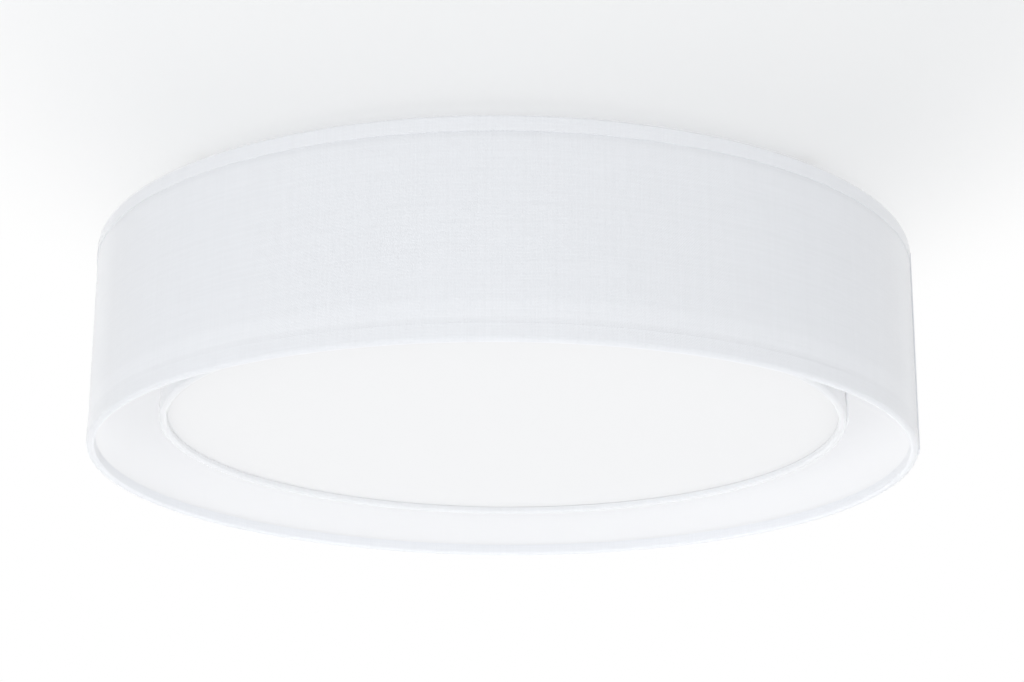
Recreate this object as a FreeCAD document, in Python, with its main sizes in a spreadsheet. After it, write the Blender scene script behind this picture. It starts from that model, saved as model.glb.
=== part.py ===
import FreeCAD, Part
import math
import os
import Sketcher

# A flush mount ceiling light: two concentric fabric drums, open at the top, with an opal disc
# lying on the inner drum's bottom ring. A steel plate with four arms is screwed to the ceiling.
# It carries the wiring housing and four horizontal lampholders. Four straps join the drums'
# top rings, and a thumb screw through each strap clamps the drums to an arm.
#
# Millimetres. The origin is the centre of the plate's top face, which lies on the ceiling, and
# +Z points up, so that the whole light has negative heights. The lampholders point along X and
# Y, and the arms lie on the diagonals between them.

DRIVING_SIZES = (
    # drums
    ("outer_diameter", 600, "outer drum, over the hems"),
    ("shade_height", 150, "outer drum, from hem to hem"),
    ("inner_diameter", 500, "inner drum, over the hems"),
    ("inner_raise", 24, "inner drum's bottom above the outer drum's bottom"),
    ("ceiling_gap", 8, "free air between the ceiling and the drums"),
    ("fabric_thickness", 0.5, "woven panel"),
    ("liner_thickness", 0.4, "stiff film behind the woven panel"),
    ("ring_wire", 4, "wire diameter of the drum rings"),
    ("hem_thickness", 0.5, "hem tape"),
    ("hem_cover", 11.5, "height of the hem on the outside of a drum"),
    ("hem_tuck", 4.2, "height of the hem behind the ring"),
    ("hem_corner", 2, "outside radius of the hem's bends"),
    ("lap_width", 12, "side seam where the panel's ends overlap"),
    ("lap_turn", -9, "angle of the side seam's first edge from +X, in degrees"),
    ("lap_thickness", 0.9, "how far the side seam stands proud"),
    ("fit_gap", 0.05, "gap between pieces that are wrapped round each other"),
    ("diffuser_thickness", 2.5, "opal disc"),
    ("diffuser_play", 0.6, "gap between the disc's edge and the liner"),
    ("seat_gap", 0.35, "gap between the disc and the ring under it"),
    ("strap_width", 15, "shade strap"),
    ("strap_thickness", 2, "shade strap"),
    ("weld_sink", 0.1, "how far a strap is pressed into the rings by its welds"),
    # thumb screws
    ("thumb_shank", 4, "thread diameter of a thumb screw"),
    ("thumb_head", 16, "knurled head diameter"),
    ("thumb_head_height", 7, "knurled head height"),
    ("thumb_collar", 10, "collar diameter above the knurled head"),
    ("thumb_collar_height", 1.5, "collar height"),
    ("knurl_count", 20, "grooves round a knurled head"),
    # ceiling plate
    ("plate_diameter", 170, "round middle of the plate"),
    ("plate_thickness", 2, "plate and arms"),
    ("arm_width", 25, "arm"),
    ("arm_turn", 45, "angle of the first arm from +X, in degrees"),
    ("fixing_circle", 144, "circle of the ceiling screw holes"),
    ("fixing_hole", 5.5, "ceiling screw hole"),
    ("cable_offset", 30, "cable entry from the plate's centre"),
    ("cable_hole", 16, "hole for the grommet"),
    ("cable_bore", 9, "bore of the grommet"),
    # wiring housing
    ("housing_diameter", 100, "wiring housing"),
    ("housing_height", 66, "wiring housing"),
    ("housing_wall", 1, "sheet of the housing and its cover"),
    ("flange_width", 10, "flange at the top of the housing"),
    ("cover_overlap", 8, "how far the cover's rim reaches up the housing"),
    ("block_length", 32, "terminal block"),
    ("block_width", 18, "terminal block"),
    ("block_height", 16, "terminal block"),
    ("pole_pitch", 10.5, "distance between the terminal poles"),
    # lampholders and bulbs
    ("lamp_drop", 50, "lampholder axis below the ceiling"),
    ("nipple_thread", 10, "hollow threaded nipple"),
    ("nipple_bore", 7, "bore of the nipple"),
    ("nut_width", 14, "nut on the nipple, across its flats"),
    ("nut_thickness", 3, "nut on the nipple"),
    ("holder_diameter", 40, "lampholder"),
    ("holder_cap_length", 17, "domed back of the lampholder"),
    ("holder_body_length", 38, "front of the lampholder"),
    ("holder_mouth", 29.8, "bore of the lampholder's mouth"),
    ("bulb_diameter", 60, "glass globe"),
    ("bulb_length", 108, "bulb from its contact to the top of its globe"),
    ("bulb_thread", 26.2, "crest diameter of the bulb's thread"),
    ("glass_wall", 1, "glass of the globe"),
    ("lead_diameter", 4.8, "sheathed two-core lead inside the housing"),
    ("earth_wire_diameter", 2, "earth wire inside the housing"),
)
AROUND = 4      # arms, straps, thumb screws, lampholders and bulbs
QUARTER_TURN = 90


class Size:
    """A size that knows its value and the sheet expression that it comes from."""

    def __init__(self, value, text):
        self.value = float(value)
        self.text = text

    def __add__(self, other):
        other = as_size(other)
        return Size(self.value + other.value, f"({self.text} + {other.text})")

    def __sub__(self, other):
        other = as_size(other)
        return Size(self.value - other.value, f"({self.text} - {other.text})")

    def __rsub__(self, other):
        return as_size(other) - self

    def __mul__(self, other):
        other = as_size(other)
        return Size(self.value * other.value, f"({self.text} * {other.text})")

    def __truediv__(self, other):
        other = as_size(other)
        return Size(self.value / other.value, f"({self.text} / {other.text})")

    def __neg__(self):
        return Size(-self.value, f"(-{self.text})")

    __radd__ = __add__
    __rmul__ = __mul__


def as_size(number):
    """The number as a Size, with brackets so that a minus sign stays with it."""
    if isinstance(number, Size):
        return number
    return Size(number, f"({float(number)})")


class Sheet:
    """The spreadsheet of driving sizes, each read as an attribute."""

    def __init__(self, document):
        self.cells = document.addObject("Spreadsheet::Sheet", "Sizes")
        for row, (alias, value, meaning) in enumerate(DRIVING_SIZES, start=1):
            self.cells.set(f"A{row}", meaning)
            self.cells.set(f"B{row}", str(value))
            self.cells.setAlias(f"B{row}", alias)
            setattr(self, alias, Size(value, f"Sizes.{alias}"))


document = FreeCAD.newDocument("CeilingLight")
sheet = Sheet(document)
document.recompute()
sub_parts = {}


# ---------------------------------------------------------------- drawing and features

def bind(thing, prop, size):
    """Bind a numeric property to the sheet."""
    thing.setExpression(prop, as_size(size).text)


def new_body(label, height=None, turn=None):
    """A body at a height below the ceiling, turned about Z by an angle in degrees."""
    body = document.addObject("PartDesign::Body", label)
    body.Label = label
    body.Placement = FreeCAD.Placement(FreeCAD.Vector(0, 0, 0),
                                       FreeCAD.Rotation(FreeCAD.Vector(0, 0, 1), 0))
    if height is not None:
        bind(body, "Placement.Base.z", height)
    if turn is not None:
        bind(body, "Placement.Rotation.Angle", as_size(turn) * Size(1, "1 deg"))
    sub_parts[label] = body
    return body


def origin_feature(body, role):
    """The body's own plane or axis of that role."""
    return next(item for item in body.Origin.OriginFeatures if item.Role == role)


def new_sketch(body, plane, across=None, out=None):
    """A sketch on an origin plane of the body, shifted along its X axis and its normal."""
    sketch = body.newObject("Sketcher::SketchObject", f"{body.Name}_sketch")
    sketch.AttachmentSupport = [(origin_feature(body, plane), "")]
    sketch.MapMode = "FlatFace"
    for axis, amount in (("x", across), ("z", out)):
        if amount is not None:
            bind(sketch, f"AttachmentOffset.Base.{axis}", amount)
    return sketch


def arc_between(start, end, radius):
    """The short arc from start to end. Its centre is on the left of the way from start to end
    if the radius is positive, and else on the right."""
    chord = end - start
    middle = (start + end) * 0.5
    left = FreeCAD.Vector(-chord.y, chord.x, 0).normalize()
    side = 1 if radius > 0 else -1
    centre = middle + left * side * math.sqrt(max(radius ** 2 - (chord.Length / 2) ** 2, 0))
    circle = Part.Circle(centre, FreeCAD.Vector(0, 0, 1), abs(radius))
    first, last = (start, end) if radius > 0 else (end, start)
    angles = [math.atan2(point.y - centre.y, point.x - centre.x) for point in (first, last)]
    return Part.ArcOfCircle(circle, *angles)


def draw_outline(sketch, corners):
    """A closed outline. A corner is (x, y), or (x, y, radius) where the edge that leaves it is
    an arc, as in arc_between."""
    first_edge = sketch.GeometryCount
    points = [FreeCAD.Vector(as_size(c[0]).value, as_size(c[1]).value, 0) for c in corners]
    radii = [as_size(c[2]) if len(c) > 2 else None for c in corners]
    starts, ends = [], []
    for index, radius in enumerate(radii):
        start, end = points[index], points[(index + 1) % len(points)]
        if radius is None:
            sketch.addGeometry(Part.LineSegment(start, end), False)
        else:
            sketch.addGeometry(arc_between(start, end, radius.value), False)
        clockwise = radius is not None and radius.value < 0
        starts.append(2 if clockwise else 1)
        ends.append(1 if clockwise else 2)
    for index, corner in enumerate(corners):
        edge = first_edge + index
        follower = (index + 1) % len(corners)
        sketch.addConstraint(Sketcher.Constraint(
            "Coincident", edge, ends[index], first_edge + follower, starts[follower]))
        for kind, place in zip(("DistanceX", "DistanceY"), corner):
            fix_distance(sketch, kind, edge, starts[index], place)
        if radii[index] is not None:
            fix_radius(sketch, edge, radii[index])


def fix_distance(sketch, kind, edge, position, size):
    """Hold a point of an edge at a distance from the sketch's origin."""
    size = as_size(size)
    number = sketch.addConstraint(
        Sketcher.Constraint(kind, -1, 1, edge, position, size.value))
    sketch.setExpression(f"Constraints[{number}]", size.text)


def fix_radius(sketch, edge, radius):
    """Hold the radius of an arc or a circle."""
    radius = radius if radius.value > 0 else -radius
    number = sketch.addConstraint(Sketcher.Constraint("Radius", edge, radius.value))
    sketch.setExpression(f"Constraints[{number}]", radius.text)


def draw_circle(sketch, x, y, radius):
    """A circle at a place in the sketch."""
    x, y, radius = as_size(x), as_size(y), as_size(radius)
    centre = FreeCAD.Vector(x.value, y.value, 0)
    edge = sketch.addGeometry(
        Part.Circle(centre, FreeCAD.Vector(0, 0, 1), radius.value), False)
    fix_radius(sketch, edge, radius)
    fix_distance(sketch, "DistanceX", edge, 3, x)
    fix_distance(sketch, "DistanceY", edge, 3, y)


def revolve(body, corners, axis="V_Axis", across=None, angle=360):
    """Turn an outline of (x, z) corners about an axis of its own sketch."""
    sketch = new_sketch(body, "XZ_Plane", across=across)
    draw_outline(sketch, corners)
    document.recompute()
    turned = body.newObject("PartDesign::Revolution", f"{body.Name}_turned")
    turned.Profile = sketch
    turned.ReferenceAxis = (sketch, [axis])
    bind(turned, "Angle", angle)
    document.recompute()
    return turned


def pad(body, height, length, outlines=(), circles=(), plane="XY_Plane"):
    """Extrude outlines and circles, drawn at a height on the plane's normal, along it."""
    sketch = new_sketch(body, plane, out=height)
    for corners in outlines:
        draw_outline(sketch, corners)
    for x, y, radius in circles:
        draw_circle(sketch, x, y, radius)
    document.recompute()
    raised = body.newObject("PartDesign::Pad", f"{body.Name}_pad")
    raised.Profile = sketch
    bind(raised, "Length", length)
    document.recompute()
    return raised


def cut(body, height, depth, outlines=(), circles=(), upward=False, plane="XY_Plane"):
    """Cut outlines and circles into the body, from a height down, or up where upward is set."""
    before = body.Shape.Volume
    sketch = new_sketch(body, plane, out=height)
    for corners in outlines:
        draw_outline(sketch, corners)
    for x, y, radius in circles:
        draw_circle(sketch, x, y, radius)
    document.recompute()
    pocket = body.newObject("PartDesign::Pocket", f"{body.Name}_cut")
    pocket.Profile = sketch
    pocket.Reversed = upward
    bind(pocket, "Length", depth)
    document.recompute()
    if body.Shape.Volume >= before:
        raise RuntimeError(f"a cut in {body.Label} removed nothing")
    return pocket


def repeat(body, features, count, axis=None):
    """Repeat features evenly round the body's Z axis, or round another axis."""
    pattern = body.newObject("PartDesign::PolarPattern", f"{body.Name}_pattern")
    pattern.Originals = features
    pattern.Axis = axis or (origin_feature(body, "Z_Axis"), [""])
    pattern.Angle = 360
    bind(pattern, "Occurrences", count)
    body.Tip = pattern
    document.recompute()
    return pattern


def rectangle(x0, x1, y0, y1, corner=None):
    """The corners of a rectangle, rounded where a corner radius is given."""
    if corner is None:
        return [(x0, y0), (x1, y0), (x1, y1), (x0, y1)]
    return [(x0 + corner, y0), (x1 - corner, y0, corner),
            (x1, y0 + corner), (x1, y1 - corner, corner),
            (x1 - corner, y1), (x0 + corner, y1, corner),
            (x0, y1 - corner), (x0, y0 + corner, corner)]


def hexagon(across_flats):
    """The corners of a hexagon about the sketch's origin."""
    reach = across_flats / math.sqrt(3)
    return [(reach * math.cos(math.radians(60 * k)), reach * math.sin(math.radians(60 * k)))
            for k in range(6)]


# ---------------------------------------------------------------- heights and radii

arm_turn = sheet.arm_turn
plate_bottom = -sheet.plate_thickness
plate_radius = sheet.plate_diameter / 2
shade_top = -sheet.ceiling_gap
lamp_height = -sheet.lamp_drop
gap = sheet.fit_gap


class Drum:
    """The radii and heights of one drum, from the outside in."""

    def __init__(self, name, diameter, bottom):
        self.name = name
        self.top = shade_top
        self.bottom = bottom
        self.outside = diameter / 2
        self.fabric_face = self.outside - sheet.hem_thickness
        self.liner_face = self.fabric_face - sheet.fabric_thickness
        self.inside = self.liner_face - sheet.liner_thickness
        self.wire_radius = sheet.ring_wire / 2
        self.ring_line = self.inside - gap - self.wire_radius
        self.tuck_face = self.ring_line - self.wire_radius - gap
        self.ring_inset = sheet.hem_thickness + gap + self.wire_radius
        self.top_ring_height = self.top - self.ring_inset
        self.bottom_ring_height = self.bottom + self.ring_inset


outer_bottom = shade_top - sheet.shade_height
outer = Drum("outer", sheet.outer_diameter, outer_bottom)
inner = Drum("inner", sheet.inner_diameter, outer_bottom + sheet.inner_raise)

strap_underside = outer.top_ring_height + outer.wire_radius - sheet.weld_sink
strap_top = strap_underside + sheet.strap_thickness
thumb_radius = (inner.ring_line + outer.ring_line) / 2
thumb_hole_play = 0.6


# ---------------------------------------------------------------- drums

def make_panel(drum):
    """The woven panel with its proud side seam, and the stiff liner behind it."""
    low = drum.bottom + sheet.hem_corner
    high = drum.top - sheet.hem_corner
    fabric = new_body(f"{drum.name}_fabric", turn=sheet.lap_turn)
    revolve(fabric, rectangle(drum.liner_face, drum.fabric_face, low, high))
    lap_root = drum.liner_face + sheet.fabric_thickness / 2
    lap_face = drum.fabric_face + sheet.lap_thickness
    lap_low = drum.bottom + sheet.hem_cover + gap
    lap_high = drum.top - sheet.hem_cover - gap
    lap_angle = sheet.lap_width / drum.outside * math.degrees(1)
    revolve(fabric, rectangle(lap_root, lap_face, lap_low, lap_high), angle=lap_angle)
    liner = new_body(f"{drum.name}_liner")
    revolve(liner, rectangle(drum.inside, drum.liner_face, low, high))


def make_ring(drum, side, height):
    """A wire ring."""
    label = f"{drum.name}_{side}_ring"
    ring = document.addObject("Part::Torus", label)
    ring.Label = label
    bind(ring, "Radius1", drum.ring_line)
    bind(ring, "Radius2", drum.wire_radius)
    bind(ring, "Placement.Base.z", height)
    sub_parts[label] = ring


def make_hem(drum, side, edge, inward):
    """Tape wrapped round a ring and the panel's edge, each bend pressed into two flat facets.
    Inward is 1 at the bottom and -1 at the top, where the same section is upside down."""
    tape, corner = sheet.hem_thickness, sheet.hem_corner
    fold = corner - tape
    inset = 1 - math.sqrt(0.5)      # a bend's middle inside its sharp corner, per radius
    back = drum.tuck_face - tape
    cover = edge + sheet.hem_cover * inward
    tuck = edge + sheet.hem_tuck * inward
    bend = edge + corner * inward
    body = new_body(f"{drum.name}_{side}_hem", turn=arm_turn)
    revolve(body, [
        (drum.outside, cover),
        (drum.outside, bend),
        (drum.outside - corner * inset, edge + corner * inset * inward),
        (drum.outside - corner, edge),
        (back + corner, edge),
        (back + corner * inset, edge + corner * inset * inward),
        (back, bend),
        (back, tuck),
        (drum.tuck_face, tuck),
        (drum.tuck_face, bend),
        (drum.tuck_face + fold * inset, edge + (tape + fold * inset) * inward),
        (back + corner, edge + tape * inward),
        (drum.outside - corner, edge + tape * inward),
        (drum.fabric_face - fold * inset, edge + (tape + fold * inset) * inward),
        (drum.fabric_face, bend),
        (drum.fabric_face, cover),
    ])
    return body


def notch_hem(body, drum):
    """Slots in a top hem where the straps cross it."""
    play = 0.3
    past = 2
    depth = drum.top - strap_underside + play
    half = sheet.strap_width / 2 + play
    slot = cut(body, drum.top, depth, outlines=[
        rectangle(drum.tuck_face - past, drum.outside + past, -half, half)])
    repeat(body, [slot], AROUND)


def make_drum(drum):
    """Panel, liner, rings and hems of one drum."""
    make_panel(drum)
    make_ring(drum, "top", drum.top_ring_height)
    make_ring(drum, "bottom", drum.bottom_ring_height)
    notch_hem(make_hem(drum, "top", drum.top, -1), drum)
    make_hem(drum, "bottom", drum.bottom, 1)


def make_straps():
    """Flat bars welded across the top rings of both drums."""
    start = inner.ring_line - inner.wire_radius
    end = outer.ring_line + outer.wire_radius / 2
    half = sheet.strap_width / 2
    corner = as_size(1.5)
    for index in range(AROUND):
        strap = new_body(f"shade_strap_{index + 1}", turn=arm_turn + QUARTER_TURN * index)
        pad(strap, strap_underside, sheet.strap_thickness,
            outlines=[rectangle(start, end, -half, half, corner=corner)],
            circles=[(thumb_radius, 0, (sheet.thumb_shank + thumb_hole_play) / 2)])


def make_diffuser():
    """The opal disc on the inner drum's bottom ring."""
    seat = inner.bottom_ring_height + inner.wire_radius + sheet.seat_gap
    radius = inner.inside - sheet.diffuser_play
    softened = sheet.diffuser_thickness / 3
    top = seat + sheet.diffuser_thickness
    disc = new_body("diffuser")
    revolve(disc, [
        (0, seat), (radius - softened, seat, softened), (radius, seat + softened),
        (radius, top - softened, softened), (radius - softened, top), (0, top)])


# ---------------------------------------------------------------- thumb screws and bushes

bush_spigot = 3.2
screw_play = 0.1


def make_thumb_screws():
    """Knurled screws through the straps, with their thread in the arm bushes."""
    tip_below_ceiling = 0.8
    shank = sheet.thumb_shank / 2
    collar = sheet.thumb_collar / 2
    head = sheet.thumb_head / 2
    chamfer = 0.8
    point = 0.5
    collar_top = strap_underside - gap
    head_top = collar_top - sheet.thumb_collar_height
    head_bottom = head_top - sheet.thumb_head_height
    groove_depth = 0.9
    groove_half = 0.9
    past = 1
    for index in range(AROUND):
        screw = new_body(f"thumb_screw_{index + 1}", turn=arm_turn + QUARTER_TURN * index)
        turned = revolve(screw, [
            (0, -tip_below_ceiling), (0, head_bottom), (head - chamfer, head_bottom),
            (head, head_bottom + chamfer), (head, head_top - chamfer),
            (head - chamfer, head_top), (collar, head_top), (collar, collar_top),
            (shank, collar_top), (shank, -tip_below_ceiling - point),
            (shank - point, -tip_below_ceiling)], across=thumb_radius)
        groove = cut(screw, head_bottom, sheet.thumb_head_height, upward=True, outlines=[[
            (thumb_radius + head - groove_depth, 0),
            (thumb_radius + head + past, -groove_half),
            (thumb_radius + head + past, groove_half)]])
        repeat(screw, [groove], sheet.knurl_count, axis=(turned.Profile[0], ["V_Axis"]))


def make_bushes():
    """Threaded bushes pressed into the arms' ends, which the straps are clamped against."""
    bore = sheet.thumb_shank / 2 + screw_play
    flange = 6
    bushes = new_body("arm_bushes", turn=arm_turn)
    turned = revolve(bushes, [
        (bore, 0), (bush_spigot, 0), (bush_spigot, plate_bottom), (flange, plate_bottom),
        (flange, strap_top), (bore, strap_top)], across=thumb_radius)
    repeat(bushes, [turned], AROUND)


# ---------------------------------------------------------------- plate, housing and wiring

flange_screw_circle = (sheet.housing_diameter + sheet.flange_width) / 2
block_screw_reach = sheet.pole_pitch / 2
earth_offset = sheet.cable_offset
small_shank = 1.5
small_hole = small_shank + screw_play
small_head = 2.8
small_head_height = 2
small_head_round = 1
screw_recess = as_size(-0.3)        # how far a screw's end stays below the ceiling


def make_plate():
    """The steel plate with its four ribbed arms and all its holes."""
    thickness = sheet.plate_thickness
    plate = new_body("ceiling_plate", turn=arm_turn)
    pad(plate, plate_bottom, thickness, circles=[(0, 0, plate_radius)])

    half = sheet.arm_width / 2
    arm_end = thumb_radius + 12
    arm_corner = as_size(6)
    arm = pad(plate, plate_bottom, thickness, outlines=[
        rectangle(plate_radius / 2, arm_end, -half, half, corner=arm_corner)])

    # a bead pressed down along each arm stiffens it
    bead_start, bead_end = plate_radius + 12, thumb_radius - 18
    bead_half = sheet.arm_width / 5
    bead_depth = thickness / 2
    bead_wall = bead_depth
    end_flat = 0.5
    ridge = pad(plate, plate_bottom - bead_depth, bead_depth, outlines=[
        rectangle(bead_start, bead_end, -bead_half, bead_half, corner=bead_half - end_flat)])
    hollow_half = bead_half - bead_wall
    hollow = cut(plate, 0, bead_depth, outlines=[
        rectangle(bead_start + bead_wall, bead_end - bead_wall, -hollow_half, hollow_half,
                  corner=hollow_half - end_flat)])

    holes = cut(plate, 0, thickness, circles=[
        (sheet.fixing_circle / 2, 0, sheet.fixing_hole / 2),
        (flange_screw_circle, 0, small_hole),
        (thumb_radius, 0, bush_spigot)])
    repeat(plate, [arm, ridge, hollow, holes], AROUND)
    cut(plate, 0, thickness, circles=[
        (sheet.cable_offset, 0, sheet.cable_hole / 2),
        (-earth_offset, 0, small_hole),
        (block_screw_reach, 0, small_hole),
        (-block_screw_reach, 0, small_hole)])


def make_grommet():
    """The rubber grommet that the supply cable comes through."""
    bore, spigot = sheet.cable_bore / 2, sheet.cable_hole / 2
    lip = spigot + 2.5
    lip_bottom = plate_bottom - 2
    lip_round = 1
    grommet = new_body("cable_grommet", turn=arm_turn)
    revolve(grommet, [
        (bore, 0), (spigot, 0), (spigot, plate_bottom), (lip, plate_bottom),
        (lip, lip_bottom + lip_round, -lip_round), (lip - lip_round, lip_bottom),
        (bore, lip_bottom)], across=sheet.cable_offset)


def screw_group(label, circle_radius, face, count, turn):
    """Slotted pan head screws round a circle, their heads' tops on a face that looks down."""
    slot_half, slot_depth = 0.4, 0.9
    head_bottom = face - small_head_height
    screws = new_body(label, turn=turn)
    turned = revolve(screws, [
        (0, screw_recess), (0, head_bottom),
        (small_head - small_head_round, head_bottom, small_head_round),
        (small_head, head_bottom + small_head_round), (small_head, face),
        (small_shank, face), (small_shank, screw_recess)], across=circle_radius)
    slot = cut(screws, head_bottom, slot_depth, upward=True, outlines=[
        rectangle(circle_radius - small_head, circle_radius + small_head,
                  -slot_half, slot_half)])
    repeat(screws, [turned, slot], count)


def make_housing():
    """The wiring housing, its cover and the screws of both."""
    wall = sheet.housing_wall
    radius = sheet.housing_diameter / 2
    flange = radius + sheet.flange_width
    flange_bottom = plate_bottom - wall
    bottom = plate_bottom - sheet.housing_height
    rim_top = bottom + sheet.cover_overlap
    rim_middle = bottom + sheet.cover_overlap / 2
    cover_play = 0.2
    cover_radius = radius + cover_play + wall
    entry_play = 0.25
    entry_radius = sheet.nipple_thread / 2 + entry_play
    cover_screws_around = 3

    housing = new_body("wiring_housing")
    revolve(housing, [
        (radius - wall, plate_bottom), (flange, plate_bottom), (flange, flange_bottom),
        (radius, flange_bottom), (radius, bottom), (radius - wall, bottom)])
    entry = cut(housing, radius + wall, wall * 3, plane="YZ_Plane",
                circles=[(0, lamp_height, entry_radius)])
    repeat(housing, [entry], AROUND)
    thread = cut(housing, radius + wall, wall * 3, plane="YZ_Plane",
                 circles=[(0, rim_middle, small_shank + gap)])
    repeat(housing, [thread], cover_screws_around)
    diagonal = flange_screw_circle * math.sqrt(0.5)
    holes = cut(housing, plate_bottom, wall, circles=[(diagonal, diagonal, small_hole)])
    repeat(housing, [holes], AROUND)

    cover = new_body("housing_cover")
    revolve(cover, [
        (0, bottom), (0, bottom - wall), (cover_radius - wall, bottom - wall, wall),
        (cover_radius, bottom), (cover_radius, rim_top), (cover_radius - wall, rim_top),
        (cover_radius - wall, bottom)])
    hole = cut(cover, cover_radius + wall, wall * 3, plane="YZ_Plane",
               circles=[(0, rim_middle, small_hole)])
    repeat(cover, [hole], cover_screws_around)

    screws = new_body("cover_screws", height=rim_middle)
    thread_inside = 4
    tip = radius - thread_inside
    head_face = cover_radius + screw_play
    head_end = head_face + small_head_height
    turned = revolve(screws, [
        (tip, 0), (tip, small_shank), (head_face, small_shank), (head_face, small_head),
        (head_end - small_head_round, small_head, -small_head_round),
        (head_end, small_head - small_head_round), (head_end, 0)], axis="H_Axis")
    repeat(screws, [turned], cover_screws_around)
    screw_group("flange_screws", flange_screw_circle, flange_bottom, AROUND, arm_turn)


def make_terminal_block():
    """The terminal block in the middle of the plate, and its screws."""
    half_length, half_width = sheet.block_length / 2, sheet.block_width / 2
    block_bottom = plate_bottom - sheet.block_height
    pitch = sheet.pole_pitch
    screw_radius, well_play, well_depth, screw_inset = 2, 0.4, 7, 1.5
    row = half_width * 0.55
    block_corner = as_size(1.5)
    places = [(pitch * pole, row * side) for pole in (-1, 0, 1) for side in (-1, 1)]
    block = new_body("terminal_block", turn=arm_turn)
    pad(block, block_bottom, sheet.block_height, outlines=[
        rectangle(-half_length, half_length, -half_width, half_width, corner=block_corner)])
    cut(block, block_bottom, well_depth, upward=True,
        circles=[(x, y, screw_radius + well_play) for x, y in places])
    cut(block, block_bottom, sheet.block_height, upward=True, circles=[
        (block_screw_reach, 0, small_hole), (-block_screw_reach, 0, small_hole)])
    screws = new_body("terminal_screws", turn=arm_turn)
    pad(screws, block_bottom + screw_inset, well_depth - screw_inset,
        circles=[(x, y, screw_radius) for x, y in places])
    slot_half, slot_reach, slot_depth = 0.4, screw_radius + 1, 0.8
    cut(screws, block_bottom + screw_inset, slot_depth, upward=True, outlines=[
        rectangle(x - slot_reach, x + slot_reach, y - slot_half, y + slot_half)
        for x, y in places])
    screw_group("block_screws", block_screw_reach, block_bottom, 2, arm_turn)


def tube_path(points):
    """Straight runs joined by tangent arcs, each arc as large as its two runs allow."""
    edges = []
    cursor = points[0]
    for before, corner, after in zip(points, points[1:], points[2:]):
        arriving = (corner - before).normalize()
        leaving = (after - corner).normalize()
        half_turn = arriving.getAngle(leaving) / 2
        trim = 0.45 * min((corner - before).Length, (after - corner).Length)
        radius = trim / math.tan(half_turn)
        start, end = corner - arriving * trim, corner + leaving * trim
        towards = (leaving - arriving).normalize()
        centre = corner + towards * (radius / math.cos(half_turn))
        crown = centre - towards * radius
        edges.append(Part.LineSegment(cursor, start).toShape())
        edges.append(Part.Arc(start, crown, end).toShape())
        print(f"arc radius {radius:.1f}, turn {math.degrees(2 * half_turn):.0f} degrees")
        cursor = end
    edges.append(Part.LineSegment(cursor, points[-1]).toShape())
    return Part.Wire(edges)


def tube(points, diameter):
    """A round tube along the path of its points."""
    path = tube_path([FreeCAD.Vector(*point) for point in points])
    start = path.OrderedVertexes[0].Point
    direction = path.OrderedEdges[0].tangentAt(path.OrderedEdges[0].FirstParameter)
    section = Part.Wire(Part.makeCircle(diameter / 2, start, direction))
    solid = path.makePipeShell([section], True, True)
    expected = math.pi * diameter ** 2 / 4 * path.Length
    if abs(solid.Volume - expected) > 0.01 * expected:
        raise RuntimeError("a tube doesn't have the volume of its path")
    return solid


def add_solid(label, shape, turn):
    """A sub-part whose shape is made directly, turned about Z by an angle in degrees."""
    thing = document.addObject("Part::Feature", label)
    thing.Label = label
    thing.Shape = shape
    thing.Placement = FreeCAD.Placement(FreeCAD.Vector(0, 0, 0),
                                        FreeCAD.Rotation(FreeCAD.Vector(0, 0, 1), turn))
    sub_parts[label] = thing


def make_wiring():
    """Sheathed leads from the terminal block to the lampholders, and the earth wire."""
    block_face = sheet.block_width.value / 2
    lamp_axis = lamp_height.value
    exit_across, exit_height = 8, -12
    clear_of_block = block_face + 11
    nipple_line = 26        # where a lead comes onto its lampholder's axis, along both sides
    lead_end = 43.5
    route = [(exit_across, block_face, exit_height), (exit_across, clear_of_block, exit_height),
             (17, 21, -40), (nipple_line, nipple_line, lamp_axis),
             (lead_end, lead_end, lamp_axis)]
    for index in range(AROUND):
        # Each long face of the block has two leads, and the faces mirror each other.
        across = 1 if index in (0, 1) else -1
        along = 1 if index in (1, 2) else -1
        lead = tube([(x * across, y * along, z) for x, y, z in route],
                    sheet.lead_diameter.value)
        add_solid(f"holder_lead_{index + 1}", lead, arm_turn.value)

    lug_thickness, lug_radius = 0.8, 4
    lug_height = plate_bottom.value - lug_thickness
    lug_place = FreeCAD.Vector(-earth_offset.value, 0, lug_height)
    lug = Part.makeCylinder(lug_radius, lug_thickness, lug_place)
    lug = lug.cut(Part.makeCylinder(small_hole, lug_thickness, lug_place))
    block_end = sheet.block_length.value / 2
    earth_exit = -9
    into_lug = FreeCAD.Vector(lug_radius - 0.5, 0, -0.4)
    wire = tube([(-block_end, 0, earth_exit), (-block_end - 3, 0, earth_exit),
                 (-block_end - 6, 0, earth_exit + 3.5), lug_place + into_lug],
                sheet.earth_wire_diameter.value)
    head_room = Part.makeCylinder(small_head, 1, lug_place - FreeCAD.Vector(0, 0, 1))
    add_solid("earth_wire", wire.fuse(lug).cut(head_room), arm_turn.value)
    screw_group("earth_stud", -earth_offset, as_size(lug_height), 1, arm_turn)


# ---------------------------------------------------------------- lampholders and bulbs

housing_radius = sheet.housing_diameter / 2
outer_nut_start = housing_radius + 0.3
cap_start = outer_nut_start + sheet.nut_thickness
body_start = cap_start + sheet.holder_cap_length
mouth = body_start + sheet.holder_body_length
floor_thickness = 8
shell_start = body_start + floor_thickness
contact_height = 2.1
contact_gap = 0.3
bulb_tip = shell_start + contact_height + contact_gap
bulb_end = bulb_tip + sheet.bulb_length
bulb_cap_end = mouth - 0.6


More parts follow.
